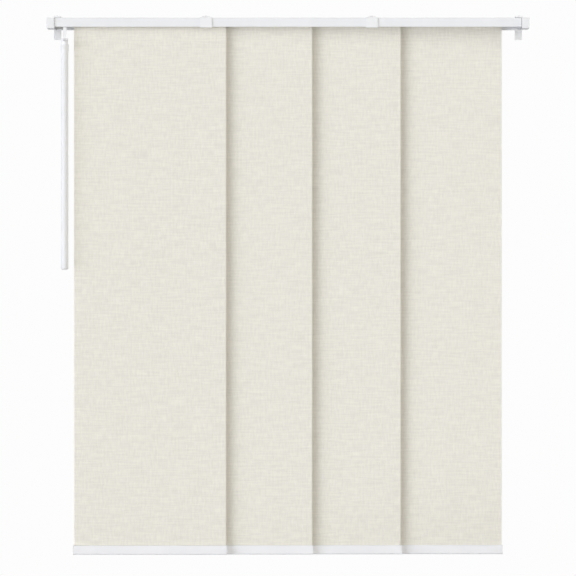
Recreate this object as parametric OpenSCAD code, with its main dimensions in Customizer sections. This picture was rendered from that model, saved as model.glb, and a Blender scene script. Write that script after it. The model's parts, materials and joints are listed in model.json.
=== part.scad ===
// Sliding panel blind: four flat fabric panels that hang in four lanes of one head rail.
// Lengths are millimetres. X runs along the head rail, Y towards the wall and Z up.
// The origin lies on the wall plane, at the centre of the wall screws.

/* [Panels] */
// Width of one fabric panel
panel_w = 600; // [450:5:750]
// Drop from the head rail's lower edge to the bottom of the panels
drop = 2081.5; // [1200:0.5:2800]
// Thickness of the fabric
fabric_t = 0.8; // [0.5:0.1:1.2]

/* [Head rail] */
// Length of the head rail profile
rail_len = 1896; // [1700:1:2400]
// Height of the head rail
rail_h = 35.5; // [35.5:0.5:46]
// Thickness of the front and rear skirts
rail_wall = 2; // [1.4:0.1:2.4]
// How far the rear skirt hangs below the front skirt
rear_skirt_drop = 10; // [2:0.5:12]
// Gap between the wall and the back of the head rail
wall_gap = 8; // [6:0.5:30]
// Distance between neighbouring lanes
lane_pitch = 18; // [17:0.5:22]
// Width of the slot below each lane
slot_w = 6.4; // [5:0.1:7.5]
// Room for the wand between the front skirt and the first lane
front_bay = 18; // [17:0.5:24]
// Room between the rail's left end and the lead panel
left_room = 103.5; // [96:0.5:140]
// Room between the rail's right end and the rear panel
right_room = 103.5; // [50:0.5:140]

/* [End caps] */
// Length of an end cap along the rail
cap_len = 33.5; // [20:0.5:40]
// Thickness of the end wall
cap_end_t = 4.5; // [3:0.5:8]
// How far a cap hangs below the front skirt
cap_drop = 8; // [6:0.5:14]
// Wall of the sleeve below the rail
cap_wall = 2.2; // [1.6:0.1:3]
// Radius of a cap's lower outer corner
cap_r = 8; // [3:0.5:14]

/* [Brackets] */
// Width of a wall bracket
bracket_w = 29; // [26:1:38]
// Thickness of the bracket strap
bracket_t = 2.5; // [1.5:0.1:3]
// How far a bracket's leg reaches below the rail
leg_drop = 48; // [20:1:80]
// Distance between the two wall screws of a bracket
screw_pitch = 18; // [12:1:24]
// Diameter of the wall screw holes
screw_hole_d = 5; // [4:0.1:6.5]
// Places of the left and right inner brackets between the middle of the rail and its ends
inner_bracket_shares = [0.3415, 0.3485]; // [0.2:0.0005:0.5]
// Width of a front clip
front_clip_w = 46; // [42:1:60]

/* [Carriers] */
// Height of a carrier bar
carrier_h = 20; // [19:0.5:21.5]
// Thickness of a carrier bar
carrier_t = 6; // [5:0.1:7]
// Height of the hook tape
tape_h = 14; // [10:0.5:14.5]
// Thickness of the hook tape
tape_t = 1.5; // [0.8:0.1:2]
// Distance of a glider from the panel's edge
glider_inset = 70; // [40:1:120]

/* [Bottom rails] */
// Height of a bottom rail
bottom_rail_h = 36; // [30:0.5:45]
// Thickness of a bottom rail
bottom_rail_t = 11; // [10:0.1:12]
// Thickness of an end cap of a bottom rail
bottom_cap_t = 4.3; // [2:0.1:8]
// Radius of the rod in the fabric's pocket
spline_r = 2.4; // [1.8:0.1:2.7]

/* [Wand] */
// Diameter of the wand's tube
wand_d = 29; // [20:0.5:30]
// Length of the wand from its collar to its tip
wand_len = 888; // [400:1:1400]
// Distance of the wand from the lead panel's edge
wand_side = 35.5; // [28:0.1:40]
// Gap between the wand and the fabric behind it
wand_gap = 3; // [2:0.1:4]
// Width of the strap that holds the wand
link_w = 13; // [10:0.5:14]

/* [Hidden] */
$fn = 48;
panel_count = 4;
PANELS = [1:panel_count];
TOWED = [2:panel_count];
BRACKETS = [1:4];
overrun = 1;
snug = 0.15;
running_gap = 0.3;
pivot_gap = 0.06;
press_gap = 0.02;

// Head rail section, from the wall forwards and from the top downwards
rib_t = 1.6;
top_lip_t = 1.4;
top_lip_len = 6;
clip_recess_h = 2.6;
top_plate_t = 2;
channel_h = 5;
lane_lip_t = 2;
rail_edge_r = 1.5;
screw_rise = 21;
channel_w = lane_pitch - rib_t;
rail_rear = -wall_gap;
rail_rear_inner = rail_rear - rail_wall;
function slot_y(i) = rail_rear_inner - channel_w / 2 - (panel_count - i) * lane_pitch;
front_rib_y = slot_y(1) - channel_w / 2 - rib_t;
rail_front_inner = front_rib_y - front_bay;
rail_front = rail_front_inner - rail_wall;
rail_mid_y = (rail_front + rail_rear) / 2;
rail_z0 = -screw_rise;
rail_z1 = rail_z0 + rail_h;
rear_skirt_z0 = rail_z0 - rear_skirt_drop;
recess_z1 = rail_z1 - top_lip_t;
recess_z0 = recess_z1 - clip_recess_h;
channel_z1 = recess_z0 - top_plate_t;
channel_z0 = channel_z1 - channel_h;
bay_z1 = channel_z0 - lane_lip_t;

// Panels: left edges spread along the rail, and each panel's own plane
panel_place_shares = [0, 0.3122, 0.6334, 1];
lead_left_x = -rail_len / 2 + left_room;
last_left_x = rail_len / 2 - right_room - panel_w;
function panel_left(i) = lead_left_x + (last_left_x - lead_left_x) * panel_place_shares[i - 1];
function panel_right(i) = panel_left(i) + panel_w;
function carrier_front_y(i) = slot_y(i) - carrier_t / 2;
function carrier_rear_y(i) = slot_y(i) + carrier_t / 2;
function fabric_rear_y(i) = carrier_front_y(i) - tape_t;
function fabric_y(i) = fabric_rear_y(i) - fabric_t / 2;
panel_z0 = rail_z0 - drop;

// Carriers
carrier_gap = 1.5;
carrier_wall = 1;
groove_w = 2.6;
groove_lip_t = 1.2;
foot_room_h = 5.5;
carrier_z1 = bay_z1 - carrier_gap;
carrier_z0 = carrier_z1 - carrier_h;
carrier_hollow_w = carrier_t - 2 * carrier_wall;
foot_room_z1 = carrier_z1 - groove_lip_t;
foot_room_z0 = foot_room_z1 - foot_room_h;
hollow_z1 = foot_room_z0 - carrier_wall;
hollow_z0 = carrier_z0 + carrier_wall;
tape_inset = 4;
tape_z1 = carrier_z0 + tape_h;

// Gliders
head_len = 24;
head_side_gap = 1.2;
head_h = 4;
neck_len = 14;
neck_side_gap = 0.5;
foot_len = 20;
foot_h = 4;

// Carrier plugs and tow catches
plug_t = 3;
plug_spigot_len = 12;
catch_t = 4;
catch_back_t = 1.5;
tow_tab_share = 0.5;
tow_nose_share = 0.79;
lane_free = lane_pitch - carrier_t;
tow_tab_reach = lane_free * tow_tab_share;
tow_nose_reach = lane_free * tow_nose_share;
catch_gap = 1;
catch_z0 = tape_z1 + catch_gap;
tow_bridge_t = 0.9;
tow_foot_len = 16;
function tow_tab_x1(i) = panel_right(i) - plug_t - running_gap;
function tow_tab_x0(i) = tow_tab_x1(i) - catch_t;
function tow_nose_x1(i) = tow_tab_x0(i - 1) - running_gap;
function tow_clip_x(i) = tow_nose_x1(i) - catch_t / 2;

// A glider that would meet the tow clip stands beside it, nearer the panel's middle
tow_clip_room = (foot_len + tow_foot_len) / 2 + catch_gap;
function tow_clip_turn(i) = sign(panel_left(i) + panel_right(i) - 2 * tow_clip_x(i));
function glider_x(i, x) =
    i > 1 && abs(x - tow_clip_x(i)) < tow_clip_room
        ? tow_clip_x(i) + tow_clip_turn(i) * tow_clip_room
        : x;

// Bottom rails
bottom_wall = 1.6;
bottom_rail_r = 4;
pocket_gap = 0.3;
slot_play = 0.4;
bottom_rail_z1 = panel_z0 + bottom_rail_h;
pocket_r = spline_r + fabric_t;
chamber_r = pocket_r + pocket_gap;
chamber_z = bottom_rail_z1 - bottom_wall - chamber_r;
bottom_hollow_z0 = panel_z0 + bottom_wall;
bottom_hollow_z1 = chamber_z - chamber_r - bottom_wall;
bottom_cap_proud = 0.6;
bottom_spigot_len = 14;

// End caps
cap_proud = 2.6;
cap_rise = 0.8;
cap_edge_r = 6;
cap_top_r = 1.5;
rim_w = 1.4;
rim_groove_w = 1.6;
rim_groove_depth = 1.6;
cap_z0 = rail_z0 - cap_drop;
cap_z1 = rail_z1 + cap_rise;
cap_x1 = rail_len / 2 + cap_end_t;
cap_x0 = cap_x1 - cap_len;
buffer_reach = 14;
buffer_w = 5;
buffer_h = 10;
buffer_x = cap_x0 - buffer_reach;
tongue_len = 16;

// Brackets, rail clips and bolts
bracket_bend_r = 4;
bracket_corner_r = 1.5;
arm_slot_len = 16;
bolt_r = 2.5;
bolt_play = 0.25;
bolt_head_r = 4.5;
bolt_head_h = 2.6;
bolt_socket_r = 1.5;
bolt_socket_depth = 1.4;
clip_len = 13;
clip_side_gap = 1;
clip_top_t = 4.2;
clip_seat = 4;
outer_bracket_x = cap_x0 - clip_side_gap - clip_len / 2;
inner_left_x = -rail_len / 2 * inner_bracket_shares[0];
inner_right_x = rail_len / 2 * inner_bracket_shares[1];
function bracket_x(i) = [-outer_bracket_x, inner_left_x, inner_right_x, outer_bracket_x][i - 1];
clip_top_z = rail_z1 + clip_top_t;
arm_z1 = clip_top_z + bracket_t;
leg_z0 = rail_z0 - leg_drop;
lip_z0 = cap_z1 + running_gap;
lip_rear_y = rail_front - running_gap;
lip_front_y = lip_rear_y - bracket_t;

// Front clips
front_clip_t = 3.4;
front_clip_under_t = 3;
front_clip_ear_t = 1.5;
front_clip_tongue_t = 1.2;
front_clip_tongue_h = 5;
front_clip_r = 1.5;

// Wand
wand_r = wand_d / 2;
wand_x = panel_left(1) - wand_side;
wand_y = fabric_y(1) - fabric_t / 2 - wand_gap - wand_r;
peg_r = 3;
peg_rise = 5.5;
peg_z = carrier_z0 + peg_rise;
peg_head_r = 4.4;
peg_head_t = 0.8;
link_t = 3.2;
wand_arm_half = 6;
wand_arm_end = 10;
link_front_y = wand_y - link_t / 2;
link_rear_y = wand_y + link_t / 2;
wand_pin_r = 1.5;
barrel_r = 3.4;
pin_drop = 51;
pin_z = rail_z0 - pin_drop;
ferrule_above_pin = 5;
ferrule_slot_floor = 4.2;
ferrule_h = 23;
ferrule_top_r = 12.6;
ferrule_base_r = 13.2;
ferrule_stem_r = 5;
ferrule_z1 = pin_z + ferrule_above_pin;
ferrule_z0 = ferrule_z1 - ferrule_h;
collar_h = 26;
collar_proud = 1.6;
collar_top_t = 3;
collar_edge_r = 1.5;
tube_wall = 2;
tip_h = 18;
tip_edge_r = 6;
tip_spigot_len = 20;
collar_r = wand_r + collar_proud;
collar_z0 = ferrule_z0 - collar_h;
tube_z1 = ferrule_z0 - collar_top_t;
wand_z0 = ferrule_z0 - wand_len;
tip_z1 = wand_z0 + tip_h;

white_metal = [0.93, 0.93, 0.94];
white_plastic = [0.94, 0.94, 0.95];
grey_plastic = [0.80, 0.80, 0.80];
zinc = [0.72, 0.73, 0.75];
linen = [0.90, 0.89, 0.85];
tape_white = [0.88, 0.88, 0.87];

function names(stem, numbers) = [for (i = numbers) str(stem, "_", i)];

// A section drawn as Y and Z, drawn out along X from x0 to x1
module along_x(x0, x1) {
    translate([x0, 0, 0])
        rotate([90, 0, 90])
            linear_extrude(x1 - x0)
                children();
}

// An outline drawn as X and Z, drawn out along Y from y0 to y1
module along_y(y0, y1) {
    translate([0, y1, 0])
        rotate([90, 0, 0])
            linear_extrude(y1 - y0)
                children();
}

// An outline drawn as X and Y, drawn out along Z from z0 to z1
module along_z(z0, z1) {
    translate([0, 0, z0])
        linear_extrude(z1 - z0)
            children();
}

// A flat rectangle between two corners
module patch(a0, b0, a1, b1) {
    translate([a0, b0])
        square([a1 - a0, b1 - b0]);
}

// A flat rectangle between two corners, with its four corners rounded
module round_patch(a0, b0, a1, b1, r) {
    patch(a0 + r, b0, a1 - r, b1);
    patch(a0, b0 + r, a1, b1 - r);
    for (a = [a0 + r, a1 - r], b = [b0 + r, b1 - r])
        translate([a, b])
            circle(r);
}

// A flat rectangle with only its two upper corners rounded
module round_top_patch(a0, b0, a1, b1, r) {
    patch(a0, b0, a1, b1 - r);
    patch(a0 + r, b1 - r, a1 - r, b1);
    for (a = [a0 + r, a1 - r])
        translate([a, b1 - r])
            circle(r);
}

// A flat strip along its second direction, with a full round at both ends
module round_ended_strip(a, b0, b1, r) {
    patch(a - r, b0 + r, a + r, b1 - r);
    for (b = [b0 + r, b1 - r])
        translate([a, b])
            circle(r);
}

// A box between two corners
module block(low, high) {
    translate(low)
        cube(high - low);
}

// A straight rod along X, Y or Z
module rod_x(x0, x1, y, z, r) {
    translate([x0, y, z])
        rotate([0, 90, 0])
            cylinder(h = x1 - x0, r = r);
}

module rod_y(x, y0, y1, z, r) {
    translate([x, y1, z])
        rotate([90, 0, 0])
            cylinder(h = y1 - y0, r = r);
}

module rod_z(x, y, z0, z1, r) {
    translate([x, y, z0])
        cylinder(h = z1 - z0, r = r);
}

// Head rail: a short front skirt, a longer rear one, a recessed top with two inward lips, and a T-slot per lane
module head_rail_section() {
    skirt_r = rail_wall / 2;
    translate([rail_front + skirt_r, rail_z0 + skirt_r])
        circle(skirt_r);
    translate([rail_rear - skirt_r, rear_skirt_z0 + skirt_r])
        circle(skirt_r);
    patch(rail_rear_inner, rear_skirt_z0 + skirt_r, rail_rear, rail_z1 - rail_edge_r);
    difference() {
        round_top_patch(rail_front, rail_z0 + skirt_r, rail_rear, rail_z1, rail_edge_r);
        patch(rail_front_inner, rail_z0 - overrun, rail_rear_inner, bay_z1);
        patch(rail_front_inner, bay_z1 - overrun, front_rib_y, channel_z1);
        patch(rail_front_inner, recess_z0, rail_rear_inner, recess_z1);
        patch(
            rail_front_inner + top_lip_len, recess_z0 + overrun,
            rail_rear_inner - top_lip_len, rail_z1 + overrun
        );
        for (i = PANELS) {
            patch(slot_y(i) - channel_w / 2, channel_z0, slot_y(i) + channel_w / 2, channel_z1);
            patch(slot_y(i) - slot_w / 2, bay_z1 - overrun, slot_y(i) + slot_w / 2, channel_z0 + overrun);
        }
    }
}

// Notch that clears the rear skirt for the right end cap
module skirt_notch() {
    block(
        [cap_x0 - running_gap, rail_rear_inner - overrun, rear_skirt_z0 - overrun],
        [rail_len / 2 + overrun, rail_rear + overrun, rail_z0]
    );
}

module head_rail() {
    color(white_metal)
        difference() {
            along_x(-rail_len / 2, rail_len / 2)
                head_rail_section();
            skirt_notch();
            mirror([1, 0, 0])
                skirt_notch();
        }
}

// End cap at the right end: a sleeve with a rounded lower corner, lane buffers and channel tongues
module cap_outline() {
    difference() {
        patch(cap_x0, cap_z0, cap_x1, cap_z1);
        difference() {
            patch(cap_x1 - cap_r, cap_z0 - overrun, cap_x1 + overrun, cap_z0 + cap_r);
            translate([cap_x1 - cap_r, cap_z0 + cap_r])
                circle(cap_r);
        }
    }
}

module end_cap() {
    cap_front = rail_front - cap_proud;
    cap_rear = rail_rear + cap_proud;
    groove_x0 = cap_x0 + rim_w;
    difference() {
        intersection() {
            along_y(cap_front, cap_rear)
                cap_outline();
            along_x(cap_x0, cap_x1)
                intersection() {
                    round_patch(cap_front, cap_z0, cap_rear, cap_z1 + cap_edge_r, cap_edge_r);
                    round_patch(cap_front, cap_z0 - cap_top_r, cap_rear, cap_z1, cap_top_r);
                }
        }
        block(
            [cap_x0 - overrun, rail_front, cap_z0 + cap_wall],
            [rail_len / 2, rail_rear, rail_z1]
        );
        block(
            [groove_x0, cap_front - overrun, cap_z0 - overrun],
            [groove_x0 + rim_groove_w, cap_front + rim_groove_depth, cap_z1 + overrun]
        );
    }
    buffer_z0 = carrier_z0 + (carrier_h - buffer_h) / 2;
    for (i = PANELS) {
        block(
            [buffer_x, slot_y(i) - buffer_w / 2, buffer_z0],
            [rail_len / 2, slot_y(i) + buffer_w / 2, buffer_z0 + buffer_h]
        );
        block(
            [rail_len / 2 - tongue_len, slot_y(i) - channel_w / 2 + snug, channel_z0 + snug],
            [rail_len / 2, slot_y(i) + channel_w / 2 - snug, channel_z1 - snug]
        );
    }
}

module end_cap_right() {
    color(white_plastic)
        end_cap();
}

module end_cap_left() {
    color(white_plastic)
        mirror([1, 0, 0])
            end_cap();
}

// Wall bracket: one bent strap with a leg on the wall, an arm over the rail and a front lip
module bracket_section() {
    difference() {
        round_top_patch(lip_front_y, leg_z0, 0, arm_z1, bracket_bend_r);
        round_top_patch(
            lip_rear_y, leg_z0 - overrun, -bracket_t, clip_top_z, bracket_bend_r - bracket_t
        );
        patch(lip_front_y - overrun, leg_z0 - overrun, lip_rear_y + overrun, lip_z0);
    }
}

module wall_bracket(i) {
    x0 = bracket_x(i) - bracket_w / 2;
    x1 = bracket_x(i) + bracket_w / 2;
    color(white_metal)
        difference() {
            intersection() {
                along_x(x0, x1)
                    bracket_section();
                along_y(lip_front_y - overrun, overrun)
                    round_patch(x0, leg_z0, x1, arm_z1 + bracket_corner_r, bracket_corner_r);
            }
            for (z = [-screw_pitch / 2, screw_pitch / 2])
                rod_y(bracket_x(i), -bracket_t - overrun, overrun, z, screw_hole_d / 2);
            along_z(clip_top_z - overrun, arm_z1 + overrun)
                round_ended_strip(
                    bracket_x(i), rail_mid_y - arm_slot_len / 2,
                    rail_mid_y + arm_slot_len / 2, bolt_r + bolt_play
                );
        }
}

// Rail clip: a slider whose lower flanges run under the rail's top lips
module rail_clip_section() {
    mouth_y0 = rail_front_inner + top_lip_len;
    mouth_y1 = rail_rear_inner - top_lip_len;
    patch(mouth_y0 - clip_seat, rail_z1, mouth_y1 + clip_seat, clip_top_z);
    patch(mouth_y0 + running_gap, recess_z0 + snug, mouth_y1 - running_gap, clip_top_z);
    patch(rail_front_inner + running_gap, recess_z0 + snug, rail_rear_inner - running_gap, recess_z1 - snug);
}

module rail_clip(i) {
    color(zinc)
        difference() {
            along_x(bracket_x(i) - clip_len / 2, bracket_x(i) + clip_len / 2)
                rail_clip_section();
            rod_z(bracket_x(i), rail_mid_y, recess_z0, clip_top_z + overrun, bolt_r + press_gap);
        }
}

module clip_bolts() {
    color(zinc)
        for (i = BRACKETS)
            difference() {
                union() {
                    rod_z(bracket_x(i), rail_mid_y, recess_z0 + snug, arm_z1 + bolt_head_h, bolt_r);
                    rod_z(bracket_x(i), rail_mid_y, arm_z1, arm_z1 + bolt_head_h, bolt_head_r);
                }
                translate([bracket_x(i), rail_mid_y, arm_z1 + bolt_head_h - bolt_socket_depth])
                    cylinder(h = bolt_socket_depth + overrun, r = bolt_socket_r, $fn = 6);
            }
}

// Front clip: a cover over the rail's face, hooked under the skirt, with ears on both sides of the bracket
module front_clip_section() {
    front_y = rail_front - running_gap - front_clip_t;
    tongue_y = rail_front_inner + snug;
    under_z = rail_z0 - snug;
    low_z = under_z - front_clip_under_t;
    difference() {
        round_patch(front_y, low_z, tongue_y + front_clip_tongue_t, rail_z1 + front_clip_ear_t, front_clip_r);
        patch(rail_front - running_gap, under_z, tongue_y, rail_z1);
        patch(
            rail_front, rail_z0 + front_clip_tongue_h,
            tongue_y + front_clip_tongue_t + overrun, rail_z1
        );
    }
    patch(
        rail_front_inner, rail_z1,
        rail_front_inner + top_lip_len, rail_z1 + front_clip_ear_t
    );
}

module front_clip(x) {
    notch = bracket_w / 2 + running_gap;
    color(white_plastic)
        difference() {
            along_x(x - front_clip_w / 2, x + front_clip_w / 2)
                front_clip_section();
            block(
                [x - notch, rail_front - front_clip_t - overrun, lip_z0 - running_gap],
                [x + notch, rail_mid_y, clip_top_z]
            );
            block([x - notch, rail_front, rail_z1 - overrun], [x + notch, rail_mid_y, clip_top_z]);
        }
}

// Carrier bar: a hollow section with a groove along its top for the gliders' feet
module carrier(i) {
    half_hollow = carrier_hollow_w / 2;
    color(white_metal)
        along_x(panel_left(i) + plug_t, panel_right(i) - plug_t)
            difference() {
                patch(carrier_front_y(i), carrier_z0, carrier_rear_y(i), carrier_z1);
                patch(slot_y(i) - half_hollow, foot_room_z0, slot_y(i) + half_hollow, foot_room_z1);
                patch(slot_y(i) - half_hollow, hollow_z0, slot_y(i) + half_hollow, hollow_z1);
                patch(
                    slot_y(i) - groove_w / 2, foot_room_z1 - overrun,
                    slot_y(i) + groove_w / 2, carrier_z1 + overrun
                );
            }
}

// Glider: a round-ended head in the lane, a neck in its slot and a foot in the carrier's groove
module glider(x, y) {
    head_half = channel_w / 2 - head_side_gap;
    head_z0 = channel_z0 + running_gap;
    neck_half = slot_w / 2 - neck_side_gap;
    stem_half = groove_w / 2 - running_gap;
    foot_half = carrier_hollow_w / 2 - snug;
    along_z(head_z0, head_z0 + head_h)
        translate([x, y])
            rotate(90)
                round_ended_strip(0, -head_len / 2, head_len / 2, head_half);
    block(
        [x - neck_len / 2, y - neck_half, carrier_z1],
        [x + neck_len / 2, y + neck_half, head_z0 + head_h / 2]
    );
    block(
        [x - neck_len / 2, y - stem_half, foot_room_z1 - foot_h / 2],
        [x + neck_len / 2, y + stem_half, head_z0]
    );
    block(
        [x - foot_len / 2, y - foot_half, foot_room_z1 - foot_h],
        [x + foot_len / 2, y + foot_half, foot_room_z1]
    );
}

module gliders(i) {
    color(grey_plastic)
        for (x = [panel_left(i) + glider_inset, panel_right(i) - glider_inset])
            glider(glider_x(i, x), slot_y(i));
}

module hook_tape(i) {
    color(tape_white)
        block(
            [panel_left(i) + tape_inset, fabric_rear_y(i), carrier_z0],
            [panel_right(i) - tape_inset, carrier_front_y(i), tape_z1]
        );
}

// Plug in one end of a carrier, its flange between x0 and x1 and its spigot on the given side
module carrier_plug(i, x0, x1, spigot_side) {
    spigot_x = spigot_side > 0 ? x1 : x0 - plug_spigot_len;
    half_hollow = carrier_hollow_w / 2 - snug;
    block([x0, carrier_front_y(i), carrier_z0], [x1, carrier_rear_y(i), carrier_z1]);
    block(
        [spigot_x, slot_y(i) - half_hollow, hollow_z0 + snug],
        [spigot_x + plug_spigot_len, slot_y(i) + half_hollow, hollow_z1 - snug]
    );
}

// Tab behind a carrier's right end: it pulls the tow clip of the panel behind
module tow_tab(i) {
    block(
        [tow_tab_x0(i), carrier_rear_y(i), catch_z0],
        [panel_right(i), carrier_rear_y(i) + catch_back_t, carrier_z1]
    );
    block(
        [tow_tab_x0(i), carrier_rear_y(i), catch_z0],
        [tow_tab_x1(i), carrier_rear_y(i) + tow_tab_reach, carrier_z1]
    );
}

// Stop in front of a carrier's right end: it ends the travel of the panel in front
module stack_stop(i) {
    block(
        [panel_right(i) - plug_t, carrier_front_y(i) - tow_nose_reach, catch_z0],
        [panel_right(i), carrier_rear_y(i), carrier_z1]
    );
}

module carrier_plugs(i) {
    color(white_plastic) {
        if (i > 1)
            carrier_plug(i, panel_left(i), panel_left(i) + plug_t, 1);
        carrier_plug(i, panel_right(i) - plug_t, panel_right(i), -1);
        if (i < panel_count)
            tow_tab(i);
        if (i > 1)
            stack_stop(i);
    }
}

// Tow clip: a foot in the carrier's groove, a bridge over its edge and a nose in the next lane's path
module tow_clip(i) {
    nose_x1 = tow_nose_x1(i);
    nose_x0 = nose_x1 - catch_t;
    mid_x = tow_clip_x(i);
    stem_half = groove_w / 2 - running_gap;
    foot_half = carrier_hollow_w / 2 - snug;
    color(white_plastic) {
        block(
            [mid_x - tow_foot_len / 2, slot_y(i) - foot_half, foot_room_z1 - foot_h],
            [mid_x + tow_foot_len / 2, slot_y(i) + foot_half, foot_room_z1]
        );
        block(
            [mid_x - tow_foot_len / 2, slot_y(i) - stem_half, foot_room_z1 - foot_h / 2],
            [mid_x + tow_foot_len / 2, slot_y(i) + stem_half, carrier_z1 + tow_bridge_t]
        );
        block(
            [mid_x - tow_foot_len / 2, carrier_front_y(i) - catch_back_t, carrier_z1],
            [mid_x + tow_foot_len / 2, carrier_rear_y(i), carrier_z1 + tow_bridge_t]
        );
        block(
            [mid_x - tow_foot_len / 2, carrier_front_y(i) - catch_back_t, catch_z0],
            [mid_x + tow_foot_len / 2, carrier_front_y(i), carrier_z1 + tow_bridge_t]
        );
        block(
            [nose_x0, carrier_front_y(i) - tow_nose_reach, catch_z0],
            [nose_x1, carrier_front_y(i), carrier_z1 + tow_bridge_t]
        );
    }
}

// Fabric: a flat sheet with a welded pocket round the rod in the bottom rail
module fabric(i) {
    color(linen)
        along_x(panel_left(i), panel_right(i))
            difference() {
                union() {
                    patch(
                        fabric_y(i) - fabric_t / 2, chamber_z + spline_r,
                        fabric_rear_y(i), tape_z1
                    );
                    translate([fabric_y(i), chamber_z])
                        circle(pocket_r);
                }
                translate([fabric_y(i), chamber_z])
                    circle(spline_r);
            }
}

module hem_spline(i) {
    color(grey_plastic)
        rod_x(
            panel_left(i) + tape_inset / 2, panel_right(i) - tape_inset / 2,
            fabric_y(i), chamber_z, spline_r - press_gap
        );
}

// Bottom rail: a round-edged hollow section with a slot and a chamber for the fabric's pocket
module bottom_rail(i) {
    half_t = bottom_rail_t / 2;
    half_slot = fabric_t / 2 + slot_play;
    y = fabric_y(i);
    color(white_metal)
        along_x(panel_left(i), panel_right(i))
            difference() {
                round_patch(y - half_t, panel_z0, y + half_t, bottom_rail_z1, bottom_rail_r);
                translate([y, chamber_z])
                    circle(chamber_r);
                patch(y - half_slot, chamber_z, y + half_slot, bottom_rail_z1 + overrun);
                round_patch(
                    y - half_t + bottom_wall, bottom_hollow_z0,
                    y + half_t - bottom_wall, bottom_hollow_z1, bottom_rail_r - bottom_wall
                );
            }
}

// End cap of a bottom rail, its plate between x0 and x1 and its spigot on the given side
module bottom_cap(i, x0, x1, spigot_side) {
    spigot_x = spigot_side > 0 ? x1 : x0 - bottom_spigot_len;
    half_t = bottom_rail_t / 2 + bottom_cap_proud;
    half_spigot = bottom_rail_t / 2 - bottom_wall - snug;
    y = fabric_y(i);
    along_x(x0, x1)
        round_patch(
            y - half_t, panel_z0 - bottom_cap_proud,
            y + half_t, bottom_rail_z1 + bottom_cap_proud, bottom_rail_r
        );
    along_x(spigot_x, spigot_x + bottom_spigot_len)
        round_patch(
            y - half_spigot, bottom_hollow_z0 + snug,
            y + half_spigot, bottom_hollow_z1 - snug, bottom_rail_r - bottom_wall
        );
}

module bottom_caps(i) {
    color(white_plastic) {
        bottom_cap(i, panel_left(i) - bottom_cap_t, panel_left(i), 1);
        bottom_cap(i, panel_right(i), panel_right(i) + bottom_cap_t, -1);
    }
}

// Wand arm: a plug in the lead carrier, a bar along the lane and a peg for the strap
module wand_arm() {
    arm_z0 = peg_z - wand_arm_half;
    arm_top = peg_z + wand_arm_half;
    arm_front_y = link_rear_y + running_gap;
    color(white_plastic) {
        carrier_plug(1, panel_left(1), panel_left(1) + plug_t, 1);
        block(
            [wand_x - wand_arm_end, carrier_front_y(1), arm_z0],
            [panel_left(1) + plug_t / 2, carrier_rear_y(1), arm_top]
        );
        block(
            [wand_x - wand_arm_half, arm_front_y, arm_z0],
            [wand_x + wand_arm_half, carrier_rear_y(1), arm_top]
        );
        rod_y(wand_x, link_front_y - running_gap - peg_head_t, carrier_front_y(1), peg_z, peg_r);
        rod_y(
            wand_x, link_front_y - running_gap - peg_head_t,
            link_front_y - running_gap, peg_z, peg_head_r
        );
    }
}

// Wand link: a strap with an eye for the arm's peg and a barrel for the wand's pin
module wand_link() {
    color(white_plastic)
        difference() {
            union() {
                along_y(link_front_y, link_rear_y) {
                    translate([wand_x, peg_z])
                        circle(link_w / 2);
                    patch(wand_x - link_w / 2, pin_z, wand_x + link_w / 2, peg_z);
                }
                rod_x(wand_x - link_w / 2, wand_x + link_w / 2, wand_y, pin_z, barrel_r);
            }
            rod_y(wand_x, link_front_y - overrun, link_rear_y + overrun, peg_z, peg_r + pivot_gap);
            rod_x(
                wand_x - link_w / 2 - overrun, wand_x + link_w / 2 + overrun,
                wand_y, pin_z, wand_pin_r + pivot_gap
            );
        }
}

module wand_pin() {
    color(zinc)
        rod_x(
            wand_x - ferrule_top_r + snug, wand_x + ferrule_top_r - snug,
            wand_y, pin_z, wand_pin_r
        );
}

// Ferrule: a cone with a slot for the strap's barrel and a stem that seats in the collar
module wand_ferrule() {
    half_slot = link_w / 2 + running_gap;
    color(white_plastic)
        difference() {
            union() {
                translate([wand_x, wand_y, ferrule_z0])
                    cylinder(h = ferrule_h, r1 = ferrule_base_r, r2 = ferrule_top_r);
                rod_z(wand_x, wand_y, ferrule_z0 - collar_top_t, ferrule_z0 + overrun, ferrule_stem_r);
            }
            block(
                [wand_x - half_slot, wand_y - ferrule_base_r, pin_z - ferrule_slot_floor],
                [wand_x + half_slot, wand_y + ferrule_base_r, ferrule_z1 + overrun]
            );
            rod_x(
                wand_x - ferrule_base_r, wand_x + ferrule_base_r,
                wand_y, pin_z, wand_pin_r + press_gap
            );
        }
}

// Collar: a round cap over the top of the tube, with a soft upper edge
module wand_collar() {
    color(white_plastic)
        translate([wand_x, wand_y, 0])
            rotate_extrude()
                difference() {
                    union() {
                        patch(0, collar_z0, collar_r, ferrule_z0 - collar_edge_r);
                        patch(0, collar_z0, collar_r - collar_edge_r, ferrule_z0);
                        translate([collar_r - collar_edge_r, ferrule_z0 - collar_edge_r])
                            circle(collar_edge_r);
                    }
                    patch(0, collar_z0 - overrun, wand_r + press_gap, tube_z1);
                    patch(0, tube_z1 - overrun, ferrule_stem_r + press_gap, ferrule_z0 + overrun);
                }
}

module wand_tube() {
    color(white_plastic)
        difference() {
            rod_z(wand_x, wand_y, tip_z1, tube_z1, wand_r);
            rod_z(wand_x, wand_y, tip_z1 - overrun, tube_z1 + overrun, wand_r - tube_wall);
        }
}

// Tip: a plug in the tube's lower end, with a round lower edge
module wand_tip() {
    color(white_plastic)
        translate([wand_x, wand_y, 0])
            rotate_extrude() {
                patch(0, wand_z0, wand_r - tip_edge_r, tip_z1);
                patch(0, wand_z0 + tip_edge_r, wand_r, tip_z1);
                intersection() {
                    translate([wand_r - tip_edge_r, wand_z0 + tip_edge_r])
                        circle(tip_edge_r);
                    patch(0, wand_z0, wand_r, tip_z1);
                }
                patch(0, tip_z1 - overrun, wand_r - tube_wall - press_gap, tip_z1 + tip_spigot_len);
            }
}

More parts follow.
